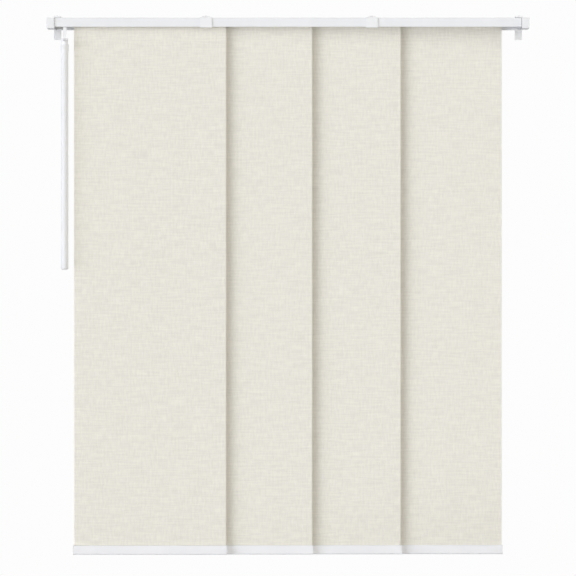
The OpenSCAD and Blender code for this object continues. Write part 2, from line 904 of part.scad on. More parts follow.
head_rail();
end_cap_left();
end_cap_right();
clip_bolts();
front_clip(inner_left_x);  // front_clip_left
front_clip(inner_right_x);  // front_clip_right
for (i = BRACKETS) {
    wall_bracket(i);
    rail_clip(i);
}
for (i = PANELS) {
    carrier(i);
    gliders(i);
    hook_tape(i);
    carrier_plugs(i);
    fabric(i);
    hem_spline(i);
    bottom_rail(i);
    bottom_caps(i);
}
for (i = TOWED)
    tow_clip(i);
wand_arm();
wand_link();
wand_pin();
wand_ferrule();
wand_collar();
wand_tube();
wand_tip();
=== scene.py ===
"""Looks of a sliding panel blind: four linen panels in a white head rail, with a wand at the left end.

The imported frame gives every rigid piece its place. This script softens the edges of those pieces, hangs the
fabric in their place, gives each piece its finish, and sets a plain studio round them.
"""

from __future__ import annotations

import json
import logging
import math
from dataclasses import dataclass, field
from enum import Enum

import bmesh
import bpy
from mathutils import Euler, Matrix, Vector


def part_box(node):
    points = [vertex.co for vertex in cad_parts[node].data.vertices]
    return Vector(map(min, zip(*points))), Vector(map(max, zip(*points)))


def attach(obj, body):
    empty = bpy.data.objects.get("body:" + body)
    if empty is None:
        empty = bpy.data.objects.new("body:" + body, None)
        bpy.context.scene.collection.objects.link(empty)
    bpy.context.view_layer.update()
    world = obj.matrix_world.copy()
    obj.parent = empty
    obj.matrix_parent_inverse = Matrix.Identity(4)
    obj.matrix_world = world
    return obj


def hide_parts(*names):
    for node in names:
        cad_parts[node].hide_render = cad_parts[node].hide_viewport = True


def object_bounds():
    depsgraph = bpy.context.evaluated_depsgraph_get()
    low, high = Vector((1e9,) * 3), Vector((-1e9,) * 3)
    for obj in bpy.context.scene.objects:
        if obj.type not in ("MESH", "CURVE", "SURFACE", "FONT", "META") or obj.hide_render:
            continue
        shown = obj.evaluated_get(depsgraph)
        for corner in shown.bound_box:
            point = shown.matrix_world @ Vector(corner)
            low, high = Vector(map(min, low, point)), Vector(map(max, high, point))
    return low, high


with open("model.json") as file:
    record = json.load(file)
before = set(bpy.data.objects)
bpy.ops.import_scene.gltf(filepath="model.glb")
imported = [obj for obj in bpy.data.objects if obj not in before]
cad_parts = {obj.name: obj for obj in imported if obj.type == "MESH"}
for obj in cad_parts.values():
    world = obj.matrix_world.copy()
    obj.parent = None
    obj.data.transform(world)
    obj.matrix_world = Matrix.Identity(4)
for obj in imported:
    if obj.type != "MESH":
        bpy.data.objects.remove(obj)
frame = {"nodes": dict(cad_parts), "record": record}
CAD_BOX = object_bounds()

LOG = logging.getLogger("panel_blind")

MM = 0.001
PANEL_COUNT = 4
BRACKET_COUNT = 4

Colour = tuple[float, float, float]
Sockets = dict[str, bpy.types.NodeSocket]


class Slot(Enum):
    """The record's material slots."""

    RAIL_WHITE = "rail_white"
    PLASTIC_WHITE = "plastic_white"
    WAND_WHITE = "wand_white"
    LINEN = "linen"
    GLIDER_NYLON = "glider_nylon"
    HOOK_TAPE = "hook_tape"
    ZINC_STEEL = "zinc_steel"


class Effect(Enum):
    """Surface effects that several finishes share, each built once as a node group."""

    GRAIN = "fine_grain"
    STREAKS = "drawn_streaks"
    YARNS = "crossed_yarns"


class Axis(Enum):
    """The way that a drawn piece runs, as the density of its streaks along X, Y and Z per metre."""

    LENGTHWISE = (1.5, 700.0, 700.0)
    UPRIGHT = (700.0, 700.0, 2.0)


# Shader nodes


class ShaderBench:
    """Adds nodes to one shader tree and joins them."""

    def __init__(self, tree: bpy.types.NodeTree) -> None:
        """Keep the tree that the nodes go into.

        Args:
            tree: The node tree of a material, a world or a group.
        """
        self.tree = tree

    def add(self, kind: str, **settings: object) -> bpy.types.Node:
        """Add one node.

        Args:
            kind: The node's type name.
            settings: Properties to set on the node.

        Returns:
            The new node.
        """
        node = self.tree.nodes.new(kind)
        for name, value in settings.items():
            setattr(node, name, value)
        return node

    def feed(self, socket: bpy.types.NodeSocket, value: object) -> None:
        """Link a socket to another one, or set its value.

        Args:
            socket: The input socket.
            value: An output socket, or a plain value.
        """
        if isinstance(value, bpy.types.NodeSocket):
            self.tree.links.new(value, socket)
        else:
            socket.default_value = value

    def sum(self, operation: str, first: object, second: object) -> bpy.types.NodeSocket:
        """Add a Math node.

        Args:
            operation: The operation's name, such as ADD.
            first: The first value or output socket.
            second: The second value or output socket.

        Returns:
            The result's socket.
        """
        node = self.add("ShaderNodeMath", operation=operation)
        self.feed(node.inputs[0], first)
        self.feed(node.inputs[1], second)
        return node.outputs[0]

    def stretch(self, vector: object, density: object) -> bpy.types.NodeSocket:
        """Multiply a vector by another one.

        Args:
            vector: The coordinates.
            density: The factor along each axis, as a value or an output socket.

        Returns:
            The stretched coordinates.
        """
        node = self.add("ShaderNodeVectorMath", operation="MULTIPLY")
        self.feed(node.inputs[0], vector)
        self.feed(node.inputs[1], density)
        return node.outputs[0]

    def noise(self, vector: object, detail: float = 2.0, rough: float = 0.5) -> bpy.types.NodeSocket:
        """Add a noise of about one cell per unit of the vector.

        Args:
            vector: The coordinates.
            detail: How many finer layers the noise has.
            rough: How strong the finer layers are.

        Returns:
            The noise value, from 0 to 1.
        """
        node = self.add("ShaderNodeTexNoise")
        self.feed(node.inputs["Vector"], vector)
        node.inputs["Scale"].default_value = 1.0
        node.inputs["Detail"].default_value = detail
        node.inputs["Roughness"].default_value = rough
        return node.outputs["Fac"]

    def spread(
        self, value: object, low: float, high: float, near: float = 0.3, far: float = 0.7
    ) -> bpy.types.NodeSocket:
        """Map a value from one range to another, and hold it there.

        Args:
            value: The value's output socket.
            low: The result at the near end.
            high: The result at the far end.
            near: The value's near end.
            far: The value's far end.

        Returns:
            The mapped value's socket.
        """
        node = self.add("ShaderNodeMapRange", clamp=True)
        self.feed(node.inputs["Value"], value)
        node.inputs["From Min"].default_value = near
        node.inputs["From Max"].default_value = far
        node.inputs["To Min"].default_value = low
        node.inputs["To Max"].default_value = high
        return node.outputs["Result"]

    def tint(self, factor: object, first: Colour, second: Colour) -> bpy.types.NodeSocket:
        """Mix two colours.

        Args:
            factor: The second colour's share.
            first: The colour at 0.
            second: The colour at 1.

        Returns:
            The mixed colour's socket.
        """
        node = self.add("ShaderNodeMix", data_type="RGBA")
        sockets = {socket.identifier: socket for socket in node.inputs}
        self.feed(sockets["Factor_Float"], factor)
        sockets["A_Color"].default_value = (*first, 1.0)
        sockets["B_Color"].default_value = (*second, 1.0)
        return next(socket for socket in node.outputs if socket.identifier == "Result_Color")

    def relief(self, height: object, strength: float, depth: float) -> bpy.types.NodeSocket:
        """Add a Bump node.

        Args:
            height: The height's socket.
            strength: How strong the relief is.
            depth: The relief's depth, in metres.

        Returns:
            The normal's socket.
        """
        node = self.add("ShaderNodeBump")
        node.inputs["Strength"].default_value = strength
        node.inputs["Distance"].default_value = depth
        self.feed(node.inputs["Height"], height)
        return node.outputs["Normal"]

    def place(self, effect: Effect, vector: object, **values: object) -> bpy.types.Node:
        """Place a shared effect.

        Args:
            effect: The effect.
            vector: The coordinates.
            values: The effect's other inputs, by name.

        Returns:
            The group node.
        """
        node = self.add("ShaderNodeGroup")
        node.node_tree = EffectLibrary.group(effect)
        self.feed(node.inputs["Vector"], vector)
        for name, value in values.items():
            self.feed(node.inputs[name], value)
        return node


class EffectLibrary:
    """The shared effects, as shader node groups.

    Attributes:
        drift_density: Cells of the slow drift of tone along each axis, per metre.
        slub_share: The slubs' share of the weave.
        fine_share: The fine yarns' share of the weave's tone.
        tone_ends: The sums of the layers at which the tone is darkest and palest.
    """

    drift_density = (14.0, 14.0, 14.0)
    slub_share = 0.5
    fine_share = 0.25
    tone_ends = (0.5, 1.0)

    @classmethod
    def group(cls, effect: Effect) -> bpy.types.NodeTree:
        """Make an effect's group, or hand back the one made before.

        Args:
            effect: The effect.

        Returns:
            The group's node tree.
        """
        found = bpy.data.node_groups.get(effect.value)
        if found:
            return found
        makers = {
            Effect.GRAIN: cls._grain,
            Effect.STREAKS: cls._streaks,
            Effect.YARNS: cls._yarns,
        }
        return makers[effect](effect.value)

    @staticmethod
    def _open(
        name: str, inputs: dict[str, str], outputs: tuple[str, ...]
    ) -> tuple[ShaderBench, Sockets, Sockets]:
        """Start a group with its sockets.

        Args:
            name: The group's name.
            inputs: The input sockets' names and types.
            outputs: The names of the output values.

        Returns:
            The bench of the group, its inputs' sockets by name, and its outputs' sockets by name.
        """
        tree = bpy.data.node_groups.new(name, "ShaderNodeTree")
        for label, kind in inputs.items():
            tree.interface.new_socket(label, in_out="INPUT", socket_type=kind)
        for label in outputs:
            tree.interface.new_socket(label, in_out="OUTPUT", socket_type="NodeSocketFloat")
        bench = ShaderBench(tree)
        start = bench.add("NodeGroupInput")
        end = bench.add("NodeGroupOutput")
        taken = {label: start.outputs[label] for label in inputs}
        given = {label: end.inputs[label] for label in outputs}
        return bench, taken, given

    @classmethod
    def _grain(cls, name: str) -> bpy.types.NodeTree:
        """Build the fine grain of paint and moulded plastic, with a slow drift of tone.

        Args:
            name: The group's name.

        Returns:
            The group's node tree.
        """
        inputs = {"Vector": "NodeSocketVector", "Density": "NodeSocketFloat"}
        bench, taken, given = cls._open(name, inputs, ("Height", "Drift"))
        fine = bench.add("ShaderNodeVectorMath", operation="SCALE")
        bench.feed(fine.inputs[0], taken["Vector"])
        bench.feed(fine.inputs["Scale"], taken["Density"])
        bench.feed(given["Height"], bench.noise(fine.outputs[0], detail=1.0))
        slow = bench.stretch(taken["Vector"], cls.drift_density)
        bench.feed(given["Drift"], bench.spread(bench.noise(slow, detail=3.0), 0.0, 1.0))
        return bench.tree

    @classmethod
    def _streaks(cls, name: str) -> bpy.types.NodeTree:
        """Build the faint lines that a die leaves along an extruded or drawn piece.

        Args:
            name: The group's name.

        Returns:
            The group's node tree.
        """
        inputs = {"Vector": "NodeSocketVector", "Density": "NodeSocketVector"}
        bench, taken, given = cls._open(name, inputs, ("Height",))
        along = bench.stretch(taken["Vector"], taken["Density"])
        bench.feed(given["Height"], bench.noise(along, detail=2.0, rough=0.6))
        return bench.tree

    @classmethod
    def _yarns(cls, name: str) -> bpy.types.NodeTree:
        """Build crossed yarns of uneven thickness, with thicker slubs among them.

        Args:
            name: The group's name.

        Returns:
            The group's node tree.
        """
        inputs = {
            "Vector": "NodeSocketVector",
            "Upright": "NodeSocketVector",
            "Level": "NodeSocketVector",
            "Upright Slub": "NodeSocketVector",
            "Level Slub": "NodeSocketVector",
        }
        bench, taken, given = cls._open(name, inputs, ("Height", "Tone"))
        layers = {
            label: bench.noise(bench.stretch(taken["Vector"], taken[label]), detail=1.0)
            for label in inputs
            if label != "Vector"
        }
        yarns = bench.sum("MAXIMUM", layers["Upright"], layers["Level"])
        slubs = bench.sum("ADD", layers["Upright Slub"], layers["Level Slub"])
        thick = bench.sum("MULTIPLY", slubs, cls.slub_share)
        bench.feed(given["Height"], bench.sum("ADD", yarns, thick))
        fine = bench.sum("ADD", layers["Upright"], layers["Level"])
        tone = bench.sum("ADD", thick, bench.sum("MULTIPLY", fine, cls.fine_share))
        near, far = cls.tone_ends
        bench.feed(given["Tone"], bench.spread(tone, 0.0, 1.0, near=near, far=far))
        return bench.tree


# Finishes


@dataclass(frozen=True)
class Finish:
    """A surface finish, made as one node material.

    Attributes:
        name: The material's name.
        slot: The record's slot that it belongs to; not used.
        colour: The main colour, linear.
        deep: The colour in its darker places, linear.
        roughness: The middle of its roughness.
        roughness_span: How far the roughness drifts from place to place.
        grain_density: Cells of the fine grain per metre.
        grain_strength: How strong the fine grain's relief is.
        grain_depth: The fine grain's depth, in metres.
        specular: The shader's specular level.
        clear: The share of the lamps' light that goes on through the piece.
    """

    name: str
    slot: Slot
    colour: Colour
    deep: Colour
    roughness: float
    roughness_span: float = 0.08
    grain_density: float = 900.0
    grain_strength: float = 0.06
    grain_depth: float = 0.2 * MM
    specular: float = 0.5
    clear: float = 0.0

    def material(self) -> bpy.types.Material:
        """Make the material, or hand back the one made before.

        Returns:
            The material.
        """
        found = bpy.data.materials.get(self.name)
        if found:
            return found
        made = bpy.data.materials.new(self.name)
        made.use_nodes = True
        bench = ShaderBench(made.node_tree)
        shader = made.node_tree.nodes["Principled BSDF"]
        shader.inputs["Specular IOR Level"].default_value = self.specular
        place = bench.add("ShaderNodeTexCoord").outputs["Object"]
        self.dress(bench, shader, place)
        if self.clear:
            self.let_through(bench, shader)
        return made

    def let_through(self, bench: ShaderBench, shader: bpy.types.Node) -> None:
        """Let a share of the light through, as thin pale plastic does, so that its shadow is weak.

        Args:
            bench: The bench of the material's tree.
            shader: The material's shader.
        """
        ray = bench.add("ShaderNodeLightPath").outputs["Is Shadow Ray"]
        mix = bench.add("ShaderNodeMixShader")
        bench.feed(mix.inputs[0], bench.sum("MULTIPLY", ray, self.clear))
        bench.feed(mix.inputs[1], shader.outputs[0])
        bench.feed(mix.inputs[2], bench.add("ShaderNodeBsdfTransparent").outputs[0])
        bench.feed(bench.tree.nodes["Material Output"].inputs["Surface"], mix.outputs[0])

    def dress(self, bench: ShaderBench, shader: bpy.types.Node, place: bpy.types.NodeSocket) -> None:
        """Give the shader its colour, roughness and relief.

        Args:
            bench: The bench of the material's tree.
            shader: The material's shader.
            place: The Object coordinates.
        """
        grain = bench.place(Effect.GRAIN, place, Density=self.grain_density)
        drift = grain.outputs["Drift"]
        bench.feed(shader.inputs["Base Color"], bench.tint(drift, self.colour, self.deep))
        low, high = self.roughness - self.roughness_span, self.roughness + self.roughness_span
        bench.feed(shader.inputs["Roughness"], bench.spread(drift, low, high, near=0.0, far=1.0))
        height = self.height(bench, grain, place)
        bench.feed(shader.inputs["Normal"], bench.relief(height, self.grain_strength, self.grain_depth))

    def height(
        self, bench: ShaderBench, grain: bpy.types.Node, place: bpy.types.NodeSocket
    ) -> bpy.types.NodeSocket:
        """Give the relief's height, which is the fine grain alone here.

        Args:
            bench: The bench of the material's tree.
            grain: The grain's group node.
            place: The Object coordinates.

        Returns:
            The height's socket.
        """
        return grain.outputs["Height"]


@dataclass(frozen=True)
class DrawnFinish(Finish):
    """A finish over an extruded or drawn piece, whose die lines show faintly.

    Attributes:
        run: The way that the lines run.
        streak_share: The lines' share of the relief.
        metallic: Whether it is bare metal, 0 or 1.
    """

    run: Axis = Axis.LENGTHWISE
    streak_share: float = 0.6
    metallic: float = 0.0

    def dress(self, bench: ShaderBench, shader: bpy.types.Node, place: bpy.types.NodeSocket) -> None:
        """Give the shader its metal, then the rest.

        Args:
            bench: The bench of the material's tree.
            shader: The material's shader.
            place: The Object coordinates.
        """
        shader.inputs["Metallic"].default_value = self.metallic
        super().dress(bench, shader, place)

    def height(
        self, bench: ShaderBench, grain: bpy.types.Node, place: bpy.types.NodeSocket
    ) -> bpy.types.NodeSocket:
        """Give the relief's height, grain and die lines together.

        Args:
            bench: The bench of the material's tree.
            grain: The grain's group node.
            place: The Object coordinates.

        Returns:
            The height's socket.
        """
        lines = bench.place(Effect.STREAKS, place, Density=self.run.value)
        fine = bench.sum("MULTIPLY", grain.outputs["Height"], 1.0 - self.streak_share)
        return bench.sum("ADD", fine, bench.sum("MULTIPLY", lines.outputs["Height"], self.streak_share))


@dataclass(frozen=True)
class WovenFinish(Finish):
    """A woven finish of crossed, uneven yarns.

    Attributes:
        yarn: A yarn's width and the length over which it stays even, in metres.
        slub: A thick place's width and length, in metres.
        upright_share: The share of those lengths over which the upright yarns stay even.
        level_share: The share of those lengths over which the level yarns stay even.
        sheen: The weight of the fibres' sheen.
        sheen_roughness: The roughness of the fibres' sheen.
        weave_depth: The relief's depth, in metres.
    """

    yarn: tuple[float, float] = (1.6 * MM, 24 * MM)
    slub: tuple[float, float] = (7.0 * MM, 60 * MM)
    upright_share: float = 0.6
    level_share: float = 1.3
    sheen: float = 0.1
    sheen_roughness: float = 0.5
    weave_depth: float = 0.25 * MM

    def dress(self, bench: ShaderBench, shader: bpy.types.Node, place: bpy.types.NodeSocket) -> None:
        """Give the shader its yarns.

        Args:
            bench: The bench of the material's tree.
            shader: The material's shader.
            place: The Object coordinates.
        """
        shader.inputs["Sheen Weight"].default_value = self.sheen
        shader.inputs["Sheen Roughness"].default_value = self.sheen_roughness
        (yarn_w, yarn_l), (slub_w, slub_l) = self.yarn, self.slub
        yarns = bench.place(
            Effect.YARNS,
            place,
            **{
                "Upright": (1 / yarn_w, 0.0, 1 / (yarn_l * self.upright_share)),
                "Level": (1 / (yarn_l * self.level_share), 0.0, 1 / yarn_w),
                "Upright Slub": (1 / slub_w, 0.0, 1 / (slub_l * self.upright_share)),
                "Level Slub": (1 / (slub_l * self.level_share), 0.0, 1 / slub_w),
            },
        )
        tone = yarns.outputs["Tone"]
        bench.feed(shader.inputs["Base Color"], bench.tint(tone, self.deep, self.colour))
        low, high = self.roughness - self.roughness_span, self.roughness + self.roughness_span
        bench.feed(shader.inputs["Roughness"], bench.spread(tone, high, low, near=0.0, far=1.0))
        normal = bench.relief(yarns.outputs["Height"], self.grain_strength, self.weave_depth)
        bench.feed(shader.inputs["Normal"], normal)


RAIL_COAT = DrawnFinish(
    "rail_powder_coat", Slot.RAIL_WHITE, (0.822, 0.83, 0.85), (0.802, 0.81, 0.832),
    0.42, grain_strength=0.05,
)
STRAP_COAT = Finish(
    "strap_powder_coat", Slot.RAIL_WHITE, (0.9, 0.902, 0.908), (0.88, 0.884, 0.892),
    0.45, grain_strength=0.08,
)
BAR_COAT = DrawnFinish(
    "bar_powder_coat", Slot.RAIL_WHITE, (0.862, 0.864, 0.887), (0.842, 0.844, 0.868),
    0.42, grain_strength=0.05,
)
MOULDED_WHITE = Finish(
    "moulded_white", Slot.PLASTIC_WHITE, (0.836, 0.84, 0.854), (0.816, 0.821, 0.836),
    0.45, grain_strength=0.07,
)
CLIP_WHITE = Finish(
    "clip_white", Slot.PLASTIC_WHITE, (0.85, 0.855, 0.868), (0.835, 0.841, 0.854),
    0.42, grain_strength=0.06,
)
# Painted shade: a dark grey on the floor of each end cap's joint groove, standing in for the shadow line
# there.
GROOVE_PAINTED_SHADE = Finish(
    "groove_painted_shade", Slot.PLASTIC_WHITE, (0.16, 0.16, 0.165), (0.13, 0.13, 0.135), 0.6
)
SPLINE_GREY = Finish(
    "spline_grey", Slot.PLASTIC_WHITE, (0.62, 0.62, 0.61), (0.56, 0.56, 0.55), 0.5
)
WAND_GLOSS = DrawnFinish(
    "wand_gloss", Slot.WAND_WHITE, (0.836, 0.836, 0.84), (0.821, 0.822, 0.827), 0.5,
    roughness_span=0.05, grain_strength=0.03, specular=0.2, clear=0.85, run=Axis.UPRIGHT,
)
LINEN = WovenFinish(
    "linen_weave", Slot.LINEN, (0.885, 0.857, 0.779), (0.745, 0.721, 0.654), 0.86,
    roughness_span=0.05, grain_strength=0.35, specular=0.25,
)
# A paler cut edge: partly the hot-cut edge's own tone, partly a painted highlight along both side edges.
LINEN_CUT_EDGE_AND_HIGHLIGHT = WovenFinish(
    "linen_cut_edge_and_highlight", Slot.LINEN, (0.90, 0.883, 0.812), (0.84, 0.822, 0.75), 0.78,
    roughness_span=0.05, grain_strength=0.2, specular=0.3, slub=(3 * MM, 40 * MM), sheen=0.05,
)
HOOK_TAPE = WovenFinish(
    "tape_hooks", Slot.HOOK_TAPE, (0.84, 0.84, 0.83), (0.62, 0.62, 0.61), 0.8,
    grain_strength=0.8, yarn=(1.2 * MM, 2.4 * MM), slub=(2.4 * MM, 8 * MM), sheen=0.2, weave_depth=0.8 * MM,
)
NATURAL_NYLON = Finish(
    "natural_nylon", Slot.GLIDER_NYLON, (0.77, 0.765, 0.735), (0.71, 0.705, 0.672), 0.45
)
ZINC_PLATE = DrawnFinish(
    "zinc_plate", Slot.ZINC_STEEL, (0.48, 0.485, 0.495), (0.4, 0.405, 0.415), 0.48,
    grain_strength=0.12, metallic=1.0,
)


# Making and dressing pieces


class Workshop:
    """Makes pieces from the frame's nodes and from meshes, and gives them their finish.

    Attributes:
        weld: How near to each other points become one, in metres.
        flat_angle: The bend below which faces become one, in radians.
        sharp_angle: The bend above which an edge is sharp, in radians.
    """

    weld = 0.002 * MM
    flat_angle = math.radians(0.5)
    sharp_angle = math.radians(40)

    def __init__(self) -> None:
        """Note which body carries each node."""
        bodies = frame["record"]["behaviour"]["bodies"]
        self.carried_by = {node: body for body, nodes in bodies.items() for node in nodes}

    def paint(self, node: str, finish: Finish) -> None:
        """Give a node that keeps its shape a finish.

        Args:
            node: The node's name.
            finish: The finish.
        """
        piece = frame["nodes"][node]
        piece.data.materials.clear()
        piece.data.materials.append(finish.material())
        LOG.info("%s painted %s", node, finish.name)

    def soften(self, node: str, finish: Finish, width: float, steps: int = 2) -> bpy.types.Object:
        """Stand a copy with rounded edges in a node's place.

        Args:
            node: The node's name.
            finish: The finish.
            width: How wide the rounding is, in metres.
            steps: How many steps the rounding has.

        Returns:
            The new piece.
        """
        shape = bmesh.new()
        shape.from_mesh(frame["nodes"][node].data)
        bmesh.ops.remove_doubles(shape, verts=shape.verts, dist=self.weld)
        bmesh.ops.dissolve_limit(
            shape, angle_limit=self.flat_angle, verts=shape.verts, edges=shape.edges,
            use_dissolve_boundaries=False,
        )
        sharp = [edge for edge in shape.edges if edge.calc_face_angle(0.0) > self.sharp_angle]
        bmesh.ops.bevel(
            shape, geom=sharp, offset=width, offset_type="OFFSET", affect="EDGES",
            segments=steps, profile=0.5, material=-1, clamp_overlap=True,
        )
        return self.finish(shape, f"{node}_piece", finish, node)

    def finish(self, shape: bmesh.types.BMesh, name: str, finish: Finish, node: str) -> bpy.types.Object:
        """Turn a shape into a smooth piece that stands for a node.

        Args:
            shape: The shape, which is used up.
            name: The piece's name.
            finish: The finish.
            node: The node that it stands for.

        Returns:
            The new piece.
        """
        for face in shape.faces:
            face.smooth = True
        mesh = bpy.data.meshes.new(name)
        shape.to_mesh(mesh)
        shape.free()
        mesh.set_sharp_from_angle(angle=self.sharp_angle)
        piece = bpy.data.objects.new(name, mesh)
        bpy.context.scene.collection.objects.link(piece)
        mesh.materials.append(finish.material())
        even = piece.modifiers.new("even_shading", "WEIGHTED_NORMAL")
        even.keep_sharp = True
        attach(piece, self.carried_by[node])
        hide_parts(node)
        LOG.info("%s stands for %s in %s", name, node, finish.name)
        return piece


@dataclass
class HeadRail:
    """The head rail with its end caps and front clips.

    Attributes:
        workshop: Where the pieces are made.
        rail_edge: The rounding of the extrusion's edges, in metres.
        cap_edge: The rounding of the moulded caps' edges, in metres.
        clip_edge: The rounding of the front clips' edges, in metres.
        joint_depth: How far behind a cap's front its groove's floor lies, at least and at most, in metres.
        joint_facing: How squarely that floor faces the room, as the cosine of its turn.
    """

    workshop: Workshop
    rail_edge: float = 0.3 * MM
    cap_edge: float = 0.4 * MM
    clip_edge: float = 0.5 * MM
    joint_depth: tuple[float, float] = (0.8 * MM, 2.4 * MM)
    joint_facing: float = 0.9

    def build(self) -> None:
        """Make the rail, the caps and the clips."""
        self.workshop.soften("head_rail", RAIL_COAT, self.rail_edge)
        for side in ("left", "right"):
            cap = self.workshop.soften(f"end_cap_{side}", MOULDED_WHITE, self.cap_edge, steps=3)
            # Each cap gets painted shade on the floor of its joint groove.
            self.paint_joint_shade(cap)
            self.workshop.soften(f"front_clip_{side}", CLIP_WHITE, self.clip_edge)

    def paint_joint_shade(self, cap: bpy.types.Object) -> None:
        """Paint shade on the floor of the groove round a cap's joint: a dark grey that stands in for the
        shadow line there.

        Args:
            cap: The cap's piece.
        """
        # Painted shade: the groove's floor takes the dark grey as the cap's second material.
        cap.data.materials.append(GROOVE_PAINTED_SHADE.material())
        front = min(vert.co.y for vert in cap.data.vertices)
        nearest, farthest = self.joint_depth
        floors = 0
        for face in cap.data.polygons:
            if -face.normal.y > self.joint_facing and nearest < face.center.y - front < farthest:
                face.material_index = 1
                floors += 1
        LOG.info("%s has %d joint faces", cap.name, floors)


@dataclass
class WallFixings:
    """The brackets that hold the rail to the wall.

    Attributes:
        workshop: Where the pieces are made.
        strap_edge: The rounding of the bent straps' edges, in metres.
        clip_edge: The rounding of the rail clips' edges, in metres.
    """

    workshop: Workshop
    strap_edge: float = 0.4 * MM
    clip_edge: float = 0.3 * MM

    def build(self) -> None:
        """Make the straps and clips, and paint the bolts."""
        for number in range(1, BRACKET_COUNT + 1):
            self.workshop.soften(f"wall_bracket_{number}", STRAP_COAT, self.strap_edge)
            self.workshop.soften(f"rail_clip_{number}", ZINC_PLATE, self.clip_edge)
        self.workshop.paint("clip_bolts", ZINC_PLATE)


@dataclass
class SlidingPanel:
    """One fabric panel between its carrier and its bottom rail.

    Attributes:
        workshop: Where the pieces are made.
        number: The panel's number, from 1 at the front.
        thickness: The fabric's thickness, in metres.
        cut_edge: The width of the hot-cut edge on both sides, paler in tone and partly a painted highlight,
            in metres.
        sway: How far the hanging fabric strays from its plane, in metres.
        swell: The length of the hanging fabric's waves across, in metres.
        long_swell: The length of the waves down the fabric, in lengths of the waves across.
        wave_shares: How much of the sway is in the waves across, and in the waves down.
        wave_shifts: How far both shift from one panel to the next, in radians.
        columns: Cells of the fabric across.
        rows: Cells of the fabric down.
        pocket_steps: Cells round the pocket.
        pocket_turn: How far the pocket goes round its spline, in radians.
        rail_edge: The rounding of the bottom rail's edges, in metres.
        small_edge: The rounding of small moulded pieces' edges, in metres.
    """

    workshop: Workshop
    number: int
    thickness: float = 0.8 * MM
    cut_edge: float = 2.0 * MM
    sway: float = 0.35 * MM
    swell: float = 0.42
    long_swell: float = 2.6
    wave_shares: tuple[float, float] = (0.7, 0.5)
    wave_shifts: tuple[float, float] = (1.7, 3.4)
    columns: int = 36
    rows: int = 90
    pocket_steps: int = 20
    pocket_turn: float = math.radians(350)
    rail_edge: float = 0.3 * MM
    small_edge: float = 0.3 * MM

    def build(self) -> None:
        """Hang the fabric, and make or paint what carries it."""
        number = self.number
        self.hang_fabric()
        self.workshop.soften(f"carrier_{number}", RAIL_COAT, self.rail_edge)
        self.workshop.soften(f"carrier_plugs_{number}", MOULDED_WHITE, self.small_edge)
        self.workshop.soften(f"bottom_rail_{number}", BAR_COAT, self.rail_edge)
        self.workshop.soften(f"bottom_caps_{number}", MOULDED_WHITE, self.small_edge)
        self.workshop.paint(f"gliders_{number}", NATURAL_NYLON)
        self.workshop.paint(f"hook_tape_{number}", HOOK_TAPE)
        self.workshop.paint(f"hem_spline_{number}", SPLINE_GREY)
        if number > 1:
            self.workshop.soften(f"tow_clip_{number}", MOULDED_WHITE, self.small_edge)

    def hang_fabric(self) -> None:
        """Hang the fabric from its tape, with a pocket round the hem spline."""
        node = f"fabric_{self.number}"
        low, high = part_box(node)
        spline_low, spline_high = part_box(f"hem_spline_{self.number}")
        spline = (spline_low + spline_high) / 2
        pocket = (high.y - low.y - self.thickness) / 2
        foot = spline.z + pocket
        shape = bmesh.new()
        width, drop = high.x - low.x, high.z - foot
        middle = Vector(((low.x + high.x) / 2, spline.y, (high.z + foot) / 2))
        upright = Matrix.Rotation(math.pi / 2, 4, "X") @ Matrix.Diagonal((width / 2, drop / 2, 1.0, 1.0))
        bmesh.ops.create_grid(
            shape, x_segments=self.columns, y_segments=self.rows, size=1.0,
            matrix=Matrix.Translation(middle) @ upright,
        )
        for side in (low.x + self.cut_edge, high.x - self.cut_edge):
            everything = [*shape.verts, *shape.edges, *shape.faces]
            bmesh.ops.bisect_plane(
                shape, geom=everything, plane_co=(side, 0.0, 0.0), plane_no=(1.0, 0.0, 0.0)
            )
        self.sag(shape, foot, high.z)
        weld = self.workshop.weld
        hem = [edge for edge in shape.edges if all(abs(vert.co.z - foot) < weld for vert in edge.verts)]
        bmesh.ops.spin(
            shape, geom=hem, cent=spline, axis=(1.0, 0.0, 0.0), angle=self.pocket_turn,
            steps=self.pocket_steps, use_merge=False,
        )
        bmesh.ops.recalc_face_normals(shape, faces=shape.faces)
        # Faces within the cut edge take the paler edge finish, which is partly a painted highlight.
        for face in shape.faces:
            middle_x = face.calc_center_median().x
            face.material_index = int(min(middle_x - low.x, high.x - middle_x) < self.cut_edge)
        sheet = self.workshop.finish(shape, f"linen_sheet_{self.number}", LINEN, node)
        sheet.data.materials.append(LINEN_CUT_EDGE_AND_HIGHLIGHT.material())
        sheet.modifiers.remove(sheet.modifiers["even_shading"])
        wall = sheet.modifiers.new("cloth_thickness", "SOLIDIFY")
        wall.thickness = self.thickness
        wall.offset = 0.0
        wall.use_even_offset = True

    def sag(self, shape: bmesh.types.BMesh, foot: float, head: float) -> None:
        """Let the flat grid stray a little from its plane, as hanging fabric does between its two rails.

        Args:
            shape: The upright grid.
            foot: The height of the fabric's lower end.
            head: The height of the fabric's upper end.
        """
        across_shift, along_shift = (shift * self.number for shift in self.wave_shifts)
        across_share, along_share = self.wave_shares
        for vert in shape.verts:
            share = (vert.co.z - foot) / (head - foot)
            held = math.sin(math.pi * min(max(share, 0.0), 1.0))
            across = math.sin(math.tau * vert.co.x / self.swell + across_shift)
            along = math.sin(math.tau * vert.co.z / (self.long_swell * self.swell) + along_shift)
            vert.co.y += self.sway * held * (across_share * across + along_share * along)


